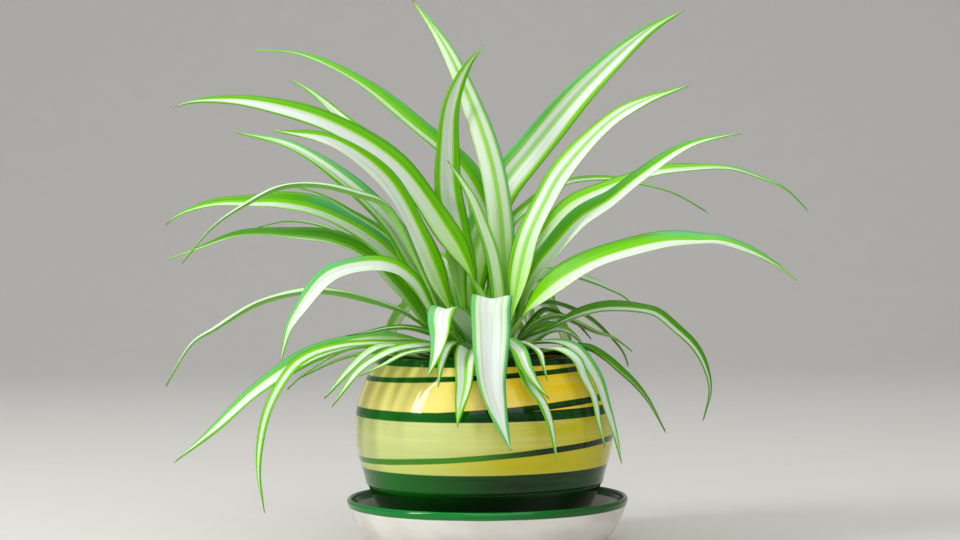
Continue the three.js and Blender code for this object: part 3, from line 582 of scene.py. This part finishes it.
def new_tree(name, **sizes):
    """A Geometry Nodes tree with named inputs of the given kinds, the function that adds a node to
    it, and one that reads an input."""
    tree = bpy.data.node_groups.new(name, "GeometryNodeTree")
    tree.interface.new_socket("Geometry", in_out="INPUT", socket_type="NodeSocketGeometry")
    for label, kind in sizes.items():
        tree.interface.new_socket(label, in_out="INPUT", socket_type="NodeSocket" + kind)
    tree.interface.new_socket("Geometry", in_out="OUTPUT", socket_type="NodeSocketGeometry")
    source = add(tree, "GroupInput").node
    return tree, partial(add, tree), source.outputs.get


def finish_tree(tree, node, shape, material):
    """Ends a tree with plain smooth geometry in its material."""
    real = node("RealizeInstances", shape)
    smoothed = node("SetShadeSmooth", real)
    dressed = node("SetMaterial", {"Geometry": smoothed, "Material": material})
    node("GroupOutput", dressed)
    return tree


def flat_grid(node, width, columns, rows):
    """A flat grid, and where its points lie: across it, and along it from 0 to 1."""
    grid = node("MeshGrid", width, 1.0, columns, rows)
    across, along = node("SeparateXYZ", node("InputPosition")).node.outputs[:2]
    return grid, across, node("Math", along, 0.5, operation="ADD")


def nearest_row(node, share, rows):
    """The row of the guide mesh that is at a share of its length."""
    last = node("Math", rows, 1.0, operation="SUBTRACT")
    row = node("Math", share, last, operation="MULTIPLY")
    return node("Math", row, operation="ROUND")


def read_point(node, spine, row, name, kind):
    """The value that a point of the guide mesh holds under a name."""
    if name == "position":
        value = node("InputPosition")
    else:
        value = node("InputNamedAttribute", name, data_type=kind)
    return node("SampleIndex", spine, value, row, data_type=kind, clamp=True)


def strap_blade_tree():
    """Strap blade: a channelled leaf skin along a spine of points that know their own directions.
    Upper and lower skins meet at the margins, so the blade is closed and thin-edged."""
    tree, node, given = new_tree(
        "strap_blade", rows="Int", columns="Int", thickness="Float", ripple="Float", waves="Float",
        phase="Float", material="Material", **dict.fromkeys(LEAF_MARKS, "Float"))
    spine = given("Geometry")
    both = node("JoinGeometry").node
    for under in (0, 1):
        shape, across, along = flat_grid(node, 2.0, given("columns"), given("rows"))
        uv = node("CombineXYZ", node("Math", across, 0.5, 0.5, operation="MULTIPLY_ADD"), along)
        shape = node("StoreNamedAttribute", {"Geometry": shape, "Name": "UVMap", "Value": uv},
                     data_type="FLOAT2", domain="CORNER")
        marks = {mark: given(mark) for mark in LEAF_MARKS}
        marks["under"] = PALE_UNDERSIDE * under
        for mark, value in marks.items():
            shape = node("StoreNamedAttribute", {"Geometry": shape, "Name": mark, "Value": value})
        row = nearest_row(node, along, given("rows"))
        centre, side, inner = (read_point(node, spine, row, name, "FLOAT_VECTOR")
                               for name in ("position", "side", "inner"))
        reach, rise, drop, body = (read_point(node, spine, row, name, "FLOAT")
                                   for name in ("reach", "rise", "drop", "body"))

        # A keel that is rounded over the middle tenth of the width, and straight flanks
        square = node("Math", across, across, operation="MULTIPLY")
        keel = node("Math", square, 0.012, operation="ADD")
        keel = node("Math", keel, operation="SQRT")
        keel = node("Math", keel, 0.11, operation="SUBTRACT")
        # Waves, strongest at the margins
        angle = node("Math", along, given("waves"), given("phase"), operation="MULTIPLY_ADD")
        angle = node("Math", across, 1.1, angle, operation="MULTIPLY_ADD")
        wave = node("Math", angle, operation="SINE")
        for factor in (given("ripple"), square, reach):
            wave = node("Math", wave, factor, operation="MULTIPLY")
        lift = node("Math", keel, rise, wave, operation="MULTIPLY_ADD")
        lift = node("Math", lift, drop, operation="SUBTRACT")
        if not under:
            fourth = node("Math", square, square, operation="MULTIPLY")
            round_off = node("Math", 1.0, fourth, operation="SUBTRACT")
            thickness = node("Math", given("thickness"), body, operation="MULTIPLY")
            lift = node("Math", thickness, round_off, lift, operation="MULTIPLY_ADD")
        out = node("Math", across, reach, operation="MULTIPLY")
        place = node("VectorMath", side, out, centre, operation="MULTIPLY_ADD")
        place = node("VectorMath", inner, lift, place, operation="MULTIPLY_ADD")
        shape = node("SetPosition", {"Geometry": shape, "Position": place})
        if under:
            shape = node("FlipFaces", shape)
        tree.links.new(shape, both.inputs[0])
    closed = node("MergeByDistance", {"Geometry": both.outputs[0], "Distance": 0.002 * MM})
    return finish_tree(tree, node, closed, given("material"))


def turned_ware_tree():
    """Turned ware: spins a line of points round the vertical axis of the piece, as on a wheel,
    with the small unevenness of a hand-finished pot."""
    tree, node, given = new_tree("turned_ware", points="Int", steps="Int", axis_x="Float",
                                 unevenness="Float", grain="Float", material="Material")
    grid, across, along = flat_grid(node, 1.0, given("steps"), given("points"))
    turn = node("Math", across, math.tau, math.pi, operation="MULTIPLY_ADD")
    row = nearest_row(node, along, given("points"))
    outline = read_point(node, given("Geometry"), row, "position", "FLOAT_VECTOR")
    outline = node("SeparateXYZ", outline).node.outputs
    spot = [node("Math", node("Math", turn, operation=part), outline[0], operation="MULTIPLY")
            for part in ("COSINE", "SINE")]
    spot = node("CombineXYZ", *spot, outline[2])
    grain = node("TexNoise", {"Vector": spot, "Scale": given("grain"), "Detail": 2.0})
    # The unevenness is a share of a radius of 60 mm
    uneven = wavered(node, 0.0, grain, given("unevenness"))
    uneven = node("Math", uneven, 60 * MM, operation="DIVIDE")
    uneven = node("CombineXYZ", uneven, uneven)
    place = node("VectorMath", spot, uneven, spot, operation="MULTIPLY_ADD")
    axis = node("CombineXYZ", given("axis_x"))
    place = node("VectorMath", place, axis, operation="ADD")
    shape = node("SetPosition", {"Geometry": grid, "Position": place})
    closed = node("MergeByDistance", {"Geometry": shape, "Distance": 0.01 * MM})
    return finish_tree(tree, node, closed, given("material"))


def crumbs_tree():
    """Soil crumbs: scatters small uneven lumps over a surface, each turned and sized by chance."""
    tree, node, given = new_tree("soil_crumbs", density="Float", smallest="Float",
                                 largest="Float", seed="Int", material="Material")
    up = node("SeparateXYZ", node("InputNormal"), output=2)
    level = node("Compare", up, 0.8, operation="GREATER_THAN")
    points = node("DistributePointsOnFaces", {
        "Mesh": given("Geometry"), "Selection": level, "Density": given("density"),
        "Seed": given("seed")})
    lump = node("MeshIcoSphere", {"Radius": 1.0, "Subdivisions": 2})
    dents = node("TexNoise", {"Scale": 1.7, "Detail": 1.0})
    swell = node("Math", dents, 1.4, 0.3, operation="MULTIPLY_ADD")
    place = node("VectorMath", {0: node("InputPosition"), "Scale": swell}, operation="SCALE")
    dented = node("SetPosition", {"Geometry": lump, "Position": place})
    any_turn = node("RandomValue", {0: (0, 0, 0), 1: (6.28, 6.28, 6.28), "Seed": given("seed")},
                    data_type="FLOAT_VECTOR")
    size = node("RandomValue", {2: given("smallest"), 3: given("largest"), "Seed": given("seed")},
                output=1)
    placed = node("InstanceOnPoints", {
        "Points": points, "Instance": dented, "Rotation": any_turn, "Scale": size})
    return finish_tree(tree, node, placed, given("material"))


def through_nodes(name, guide, tree, **values):
    """Runs a guide mesh through a tree with given inputs and keeps the result as a plain mesh."""
    holder = bpy.data.objects.new(name + "_guide", guide)
    bpy.context.collection.objects.link(holder)
    modifier = holder.modifiers.new("shape", "NODES")
    modifier.node_group = tree
    for item in tree.interface.items_tree:
        if item.in_out == "INPUT" and item.name in values:
            modifier[item.identifier] = values[item.name]
    evaluated = holder.evaluated_get(bpy.context.evaluated_depsgraph_get())
    mesh = bpy.data.meshes.new_from_object(evaluated)
    holder.modifiers.remove(modifier)
    bpy.data.objects.remove(holder)
    mesh.name = name
    piece = bpy.data.objects.new(name, mesh)
    bpy.context.collection.objects.link(piece)
    return piece


def guide_mesh(name, points, **values):
    """A mesh of loose points, each with the named values."""
    mesh = bpy.data.meshes.new(name)
    mesh.from_pydata([tuple(p) for p in points], [], [])
    for label, column in values.items():
        vectors = isinstance(column[0], Vector)
        layer = mesh.attributes.new(label, "FLOAT_VECTOR" if vectors else "FLOAT", "POINT")
        if vectors:
            layer.data.foreach_set("vector", [c for v in column for c in v])
        else:
            layer.data.foreach_set("value", column)
    return mesh


def face_outwards(piece):
    """Recalculates a closed piece's normals so that they face outwards."""
    mesh = bmesh.new()
    mesh.from_mesh(piece.data)
    bmesh.ops.recalc_face_normals(mesh, faces=mesh.faces)
    mesh.to_mesh(piece.data)
    mesh.free()


def smooth(value):
    value = min(1, max(0, value))
    return value * value * (3 - 2 * value)


def mix(first, second, share):
    return first + (second - first) * share


def direction(degrees):
    return Vector((math.cos(math.radians(degrees)), math.sin(math.radians(degrees)), 0))


def turn_between(start, end):
    return (end - start + 180) % 360 - 180


def from_front(point):
    """A point written as across, up and depth in the front view, brought to its place in space."""
    across, up, depth = (float(part) for part in point.split())
    scale = 1 + depth / -EYE.y
    return Vector((EYE.x + (across - EYE.x) * scale, depth, EYE.z + (up - EYE.z) * scale))


def dome_height(radius):
    return CROWN.z - CROWN_EDGE_DROP * (radius / CROWN_RADIUS) ** 2


def sheath_points(ring, turn):
    """The two points that a keel starts with, on the leaf's ring of the crown."""
    way = direction(turn) * RING_RADII[ring]
    foot = CROWN + way
    foot.z = dome_height(RING_RADII[ring]) + ROOT_LIFT
    top = CROWN + way * SHEATH_FLARES[ring]
    top.z = foot.z + SHEATH_HEIGHTS[ring]
    return [foot, top]


def arch_points(ring, turn, heading, reach, crest, drop):
    """The keel of a leaf behind: an even arch that rises from its sheath, crests and hangs."""
    sheath = sheath_points(ring, turn)[1]
    tip = CROWN + direction(heading) * reach
    points = []
    for share, rise in zip(ARCH_REACH, ARCH_RISE):
        points.append(sheath.lerp(tip, share))
        low = sheath.z if share < ARCH_CREST else crest - drop
        points[-1].z = mix(low, crest, rise)
    return points


def spline(points, per_span=24):
    """A dense smooth curve through the points, with the same spacing rule as the CAD curve."""
    ends = [points[0] * 2 - points[1], *points, points[-1] * 2 - points[-2]]
    dense = []
    for before, start, end, after in zip(ends, ends[1:], ends[2:], ends[3:]):
        gaps = [max(1e-4, math.sqrt((b - a).length))
                for a, b in ((before, start), (start, end), (end, after))]
        leave = ((start - before) / gaps[0] - (end - before) / (gaps[0] + gaps[1])
                 + (end - start) / gaps[1]) * gaps[1]
        arrive = ((end - start) / gaps[1] - (after - start) / (gaps[1] + gaps[2])
                  + (after - end) / gaps[2]) * gaps[1]
        for step in range(per_span):
            t = step / per_span
            dense.append(start * (2 * t**3 - 3 * t**2 + 1) + leave * (t**3 - 2 * t**2 + t)
                         + end * (3 * t**2 - 2 * t**3) + arrive * (t**3 - t**2))
    dense.append(points[-1].copy())
    return dense


def evenly(dense, count):
    """Points spaced evenly along a dense curve, each with its direction."""
    lengths = [0]
    for a, b in zip(dense, dense[1:]):
        lengths.append(lengths[-1] + (b - a).length)
    picked, span = [], 0
    for step in range(count):
        goal = lengths[-1] * step / (count - 1)
        while span < len(dense) - 2 and lengths[span + 1] < goal:
            span += 1
        share = (goal - lengths[span]) / max(1e-9, lengths[span + 1] - lengths[span])
        picked.append(dense[span].lerp(dense[span + 1], min(1, share)))
    ways = []
    for step in range(count):
        before, after = picked[max(0, step - 1)], picked[min(count - 1, step + 1)]
        ways.append((after - before).normalized())
    return picked, ways, lengths[-1]


def half_width(leaf, share):
    opened = smooth(share / leaf.spread)
    width = mix(SHEATH_WIDTHS[leaf.ring], leaf.width, opened)
    point = max(0, (share - TAPERS_FROM) / (1 - TAPERS_FROM)) ** TAPER_POWER
    return max(TIP_WIDTH, width * (1 - point)) / 2


def fold_angle(leaf, share):
    """A leaf hugs the crown at its sheath, opens to its own fold, and is flatter at its tip."""
    bend = SHEATH_WIDTHS[leaf.ring] / (4 * RING_RADII[leaf.ring])
    hug = math.degrees(math.asin(bend))
    opening = mix(hug, leaf.fold, smooth(share / FOLD_OPENS_AT))
    flatter = smooth((share - TIP_FLATTENS_FROM) / (1 - TIP_FLATTENS_FROM))
    return math.radians(opening * (1 - TIP_FLATTENS_BY * flatter))


def strap_blade(name, leaf, tree, material, luck):
    """One leaf, with a skin finer than its CAD solid's on the same keel."""
    dense = spline(sheath_points(leaf.ring, leaf.turn) + leaf.keel)
    centres, ways, length = evenly(dense, BLADE_ROWS)
    heading = leaf.heading
    if heading is None:
        tip = leaf.keel[-1] - CROWN
        heading = math.degrees(math.atan2(tip.y, tip.x))
    level = direction(heading + 90)
    root_roll = turn_between(heading, leaf.turn)
    side, inner, reach, rise, drop, body = [], [], [], [], [], []
    for row, way in enumerate(ways):
        share = row / (BLADE_ROWS - 1)
        across = (level - way * level.dot(way)).normalized()
        later = max(0, (share - ROLL_SETTLES_AT) / (1 - ROLL_SETTLES_AT))
        settled = smooth(share / ROLL_SETTLES_AT)
        roll = mix(root_roll, mix(leaf.middle_roll, leaf.tip_roll, later), settled)
        across = Matrix.Rotation(math.radians(roll), 3, way) @ across
        side.append(across)
        inner.append(way.cross(across))
        half = half_width(leaf, share) * MM
        fold = fold_angle(leaf, share)
        reach.append(half * math.cos(fold))
        rise.append(half * math.sin(fold))
        drop.append(0.5 * half * math.sin(fold) * settled)
        body.append(0.0 if row in (0, BLADE_ROWS - 1) else 1 / math.cos(fold))
    guide = guide_mesh("leaf_" + name, [centre * MM for centre in centres], side=side, inner=inner,
                       reach=reach, rise=rise, drop=drop, body=body)
    usual = (luck.uniform(*USUAL_BAND), luck.uniform(*USUAL_SHIFT))
    band, shift = WHITE_BANDS.get(name, usual)
    bloom, waxed_from, waxed_to = SHEEN_LEAVES.get(name, (0.0, 0.0, 1.0))
    lime = LIME_INNER if leaf.ring < INNER_RINGS else LIME_OUTER
    lime = LIME_FRONT if "front" in name else lime
    blade = through_nodes(
        "leaf_" + name + "_blade", guide, tree, rows=BLADE_ROWS, columns=BLADE_COLUMNS,
        thickness=BLADE_THICKNESS * MM, ripple=MARGIN_RIPPLE, waves=length / RIPPLE_LENGTH,
        phase=luck.uniform(0, 6), band=band, shift=shift,
        tone=PAINTED_SHADE_SHARE if name in SHADED_LEAVES else luck.uniform(*USUAL_DARKNESS),
        bloom=bloom, waxed_from=waxed_from - SHEEN_FADES_OVER, waxed_to=waxed_to,
        line=KEEL_LINES.get(name, 0.0), lime=lime, dry=float(luck.random() < DRY_TIPS),
        luck=luck.random(), material=material)
    face_outwards(blade)
    return blade


def outline_of(runs):
    """Joins runs of (radius, height) points into one outline in metres, without doubled points.
    Each run goes on from the end of the last: straight to a single point, else as a curve."""
    outline, points = [], []
    for run in runs:
        points = points[-1:] + [Vector((radius, 0, height)) * MM for radius, height in run]
        for point in points if len(points) < 3 else spline(points, per_span=7):
            if not outline or (point - outline[-1]).length > SMALLEST_STEP * MM:
                outline.append(point)
    return outline


def pot_inside(height):
    """The radius of the pot's inside at a height."""
    if height > BELLY_Z:
        return POT_INSIDE * (1 - LIP_DRAWN_IN * ((height - BELLY_Z) / (LIP_Z - BELLY_Z)) ** 2)
    return POT_INSIDE * (1 - FOOT_DRAWN_IN * ((BELLY_Z - height) / (BELLY_Z - INSIDE_FOOT_Z)) ** 2)


def turned(name, runs, tree, material, unevenness, steps=TURNED_STEPS, axis_x=POT_AXIS_X,
           grain=14.0):
    """A piece turned from its outline."""
    outline = outline_of(runs)
    piece = through_nodes(name, guide_mesh(name + "_outline", outline), tree, points=len(outline),
                          steps=steps, axis_x=axis_x * MM, unevenness=unevenness * MM, grain=grain,
                          material=material)
    face_outwards(piece)
    return piece


def make_pot(tree, material):
    """Pot: foot, moulded step, belly, shoulder and rounded lip outside; a plain wall inside."""
    inside = [(pot_inside(z), z) for z in (101, 98, 90, 80, 65, 50, 36, 24, 16)]
    floor_edge = pot_inside(16) - 4
    return turned("painted_pot", [
        [(DRAIN_RADIUS, POT_SEAT)],
        [(48.6, POT_SEAT)],
        [(49.8, 5.7), (50.6, 6.8)],
        [(54.6, 16), (58.2, 24.4), (61.6, 31.4), (63.2, 35.6)],
        [(63.7, 36), (64.3, 36.7), (64.6, 37.6)],
        [(65.3, 41), (68.2, 51), (69.8, 59.6), (70, 65), (69.7, 72), (68.1, 81.2), (64.4, 92),
         (61.2, 98), (58.9, 102.2)],
        [(58.4, 104), (57.8, 105.3), (56.4, 106), (55, 105.5), (54.2, 104)],
        inside,
        [(inside[-1][0] - 1, 13.4), (floor_edge, POT_FLOOR)],
        [(DRAIN_RADIUS, POT_FLOOR)],
        [(DRAIN_RADIUS, POT_SEAT)],
    ], tree, material, 0.25)


def make_saucer(tree, material):
    """Saucer: flat foot, flared wall, rolled rim and a wide flat floor."""
    return turned("glazed_saucer", [
        [(0, 0)],
        [(54, 0)],
        [(57.4, 0.35), (59.7, 1.1)],
        [(65.6, 6), (71.5, 14.6), (75.1, 23), (75.9, 25.6)],
        [(76.25, 27), (75.8, 28.2), (74.9, 28.7), (73.9, 28.2), (73.5, 26.7)],
        [(71.8, 22.6), (68.1, 14.2), (61.5, 7.6), (58.6, 5.6), (55, SAUCER_FLOOR)],
        [(0, SAUCER_FLOOR)],
    ], tree, material, 0.2, axis_x=0)


def make_soil(ware, crumbs, material):
    """Soil: an uneven bed with loose crumbs on it, in one piece."""
    side = [(pot_inside(z) - 0.7, z) for z in (16, 24, 36, 50, 65, 80, 90.5)]
    foot_edge = (pot_inside(16) - 4.5, SOIL_FOOT)
    rings = [pot_inside(91) - 2 - step for step in range(0, 40, 2)]
    top = [(radius, SOIL_TOP - 0.8 + 0.5 * math.sin(radius)) for radius in rings
           if radius > CROWN_HOLE]
    bed = turned("potting_soil", [
        [(0, SOIL_FOOT)],
        [foot_edge],
        side,
        [*top, (CROWN_HOLE, SOIL_TOP - 1)],
        [(CROWN_HOLE, CROWN_HOLE_FLOOR)],
        [(0, CROWN_HOLE_FLOOR)],
    ], ware, material, 0.5, steps=97, grain=120.0)
    loose = through_nodes(
        "soil_crumbs", bed.data.copy(), crumbs, density=CRUMBS_PER_SQUARE_METRE,
        smallest=SMALLEST_CRUMB * MM, largest=LARGEST_CRUMB * MM, seed=5, material=material)
    joined = bmesh.new()
    joined.from_mesh(bed.data)
    joined.from_mesh(loose.data)
    joined.to_mesh(bed.data)
    joined.free()
    bpy.data.objects.remove(loose)
    return bed


def make_crown(tree, material):
    """Crown: a tapered rootstock with a domed top."""
    foot = CROWN.z - CROWN_DEPTH
    edge, *dome = [(radius, dome_height(radius)) for radius in (CROWN_RADIUS - 0.6, 16, 11, 5.5, 0)]
    return turned("rootstock", [
        [(0, foot)],
        [(CROWN_TIP_RADIUS, foot)],
        [(CROWN_RADIUS - 3, SOIL_TOP - 14), (CROWN_RADIUS, SOIL_TOP - 4),
         (CROWN_RADIUS, dome_height(CROWN_RADIUS) - 0.6)],
        [edge],
        dome,
    ], tree, material, 0.0, steps=65, axis_x=CROWN.x)


def keep_piece(piece, node):
    """Puts a finished piece on the root body and hides the CAD solid that it stands for."""
    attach(piece, "root")
    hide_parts(node)


def make_plant(tree, material):
    """All leaves, each in the place of its CAD blade."""
    leaves = {}
    for name, facts in LEAVES.items():
        leaf = Leaf(*facts)
        leaves[name] = leaf._replace(keel=[from_front(point) for point in leaf.keel.split(",")])
    for index, (ring, turn, heading, width, *arch) in enumerate(BACK_LEAVES, start=1):
        keel = arch_points(ring, turn, heading, *arch)
        leaves[f"back_{index:02d}"] = Leaf(ring, turn, width, BACK_FOLD, 0, 0, keel,
                                           heading=heading)
    luck = random.Random(LUCK_SEED)
    for name, leaf in leaves.items():
        keep_piece(strap_blade(name, leaf, tree, material, luck), "leaf_" + name)


def make_studio():
    """A pale sweep that rises behind the plant, soft lights and the photograph's camera."""
    scene = bpy.context.scene
    objects = bpy.context.collection.objects
    sweep = [(SWEEP_FRONT, 0.0), (SWEEP_BEND, 0.0)]
    for step in range(1, SWEEP_STEPS + 1):
        angle = math.radians(90 * step / SWEEP_STEPS)
        sweep.append((SWEEP_BEND + SWEEP_RADIUS * math.sin(angle),
                      SWEEP_RADIUS - SWEEP_RADIUS * math.cos(angle)))
    sweep.append((SWEEP_BEND + SWEEP_RADIUS, SWEEP_TOP))
    mesh = bpy.data.meshes.new("studio_sweep")
    points = [(x, y, z) for y, z in sweep for x in (-SWEEP_SIDE, SWEEP_SIDE)]
    faces = [(2 * i, 2 * i + 1, 2 * i + 3, 2 * i + 2) for i in range(len(sweep) - 1)]
    mesh.from_pydata(points, [], faces)
    mesh.shade_smooth()
    mesh.materials.append(floor_material())
    floor = bpy.data.objects.new("studio_sweep", mesh)
    objects.link(floor)

    for name, (place, (wide, tall), watts) in LAMPS.items():
        light = bpy.data.lights.new(name, "AREA")
        light.shape = "RECTANGLE"
        light.size, light.size_y = wide, tall
        light.energy = watts
        lamp = bpy.data.objects.new(name, light)
        lamp.location = place
        lamp.rotation_euler = (LAMPS_AIM - Vector(place)).to_track_quat("-Z", "Y").to_euler()
        objects.link(lamp)

    world = bpy.data.worlds.new("pale_studio")
    world.use_nodes = True
    world.node_tree.nodes.clear()
    sky = add(world.node_tree, "Background", colour(SKY_COLOUR), SKY_STRENGTH)
    add(world.node_tree, "OutputWorld", {"Surface": sky})
    scene.world = world
    scene.view_settings.view_transform = "Standard"

    lens = bpy.data.cameras.new("photo_camera")
    lens.lens = LENS
    camera = bpy.data.objects.new("photo_camera", lens)
    camera.location = EYE * MM
    camera.rotation_euler = (Matrix.Rotation(math.radians(90 + EYE_PITCH), 3, "X")
                             @ Matrix.Rotation(math.radians(EYE_ROLL), 3, "Z")).to_euler()
    objects.link(camera)
    scene.camera = camera


make_studio()
ware = turned_ware_tree()
keep_piece(make_pot(ware, pot_material()), "pot")
keep_piece(make_saucer(ware, saucer_material()), "saucer")
keep_piece(make_soil(ware, crumbs_tree(), soil_material()), "soil")
keep_piece(make_crown(ware, crown_material()), "crown")
make_plant(strap_blade_tree(), leaf_material())
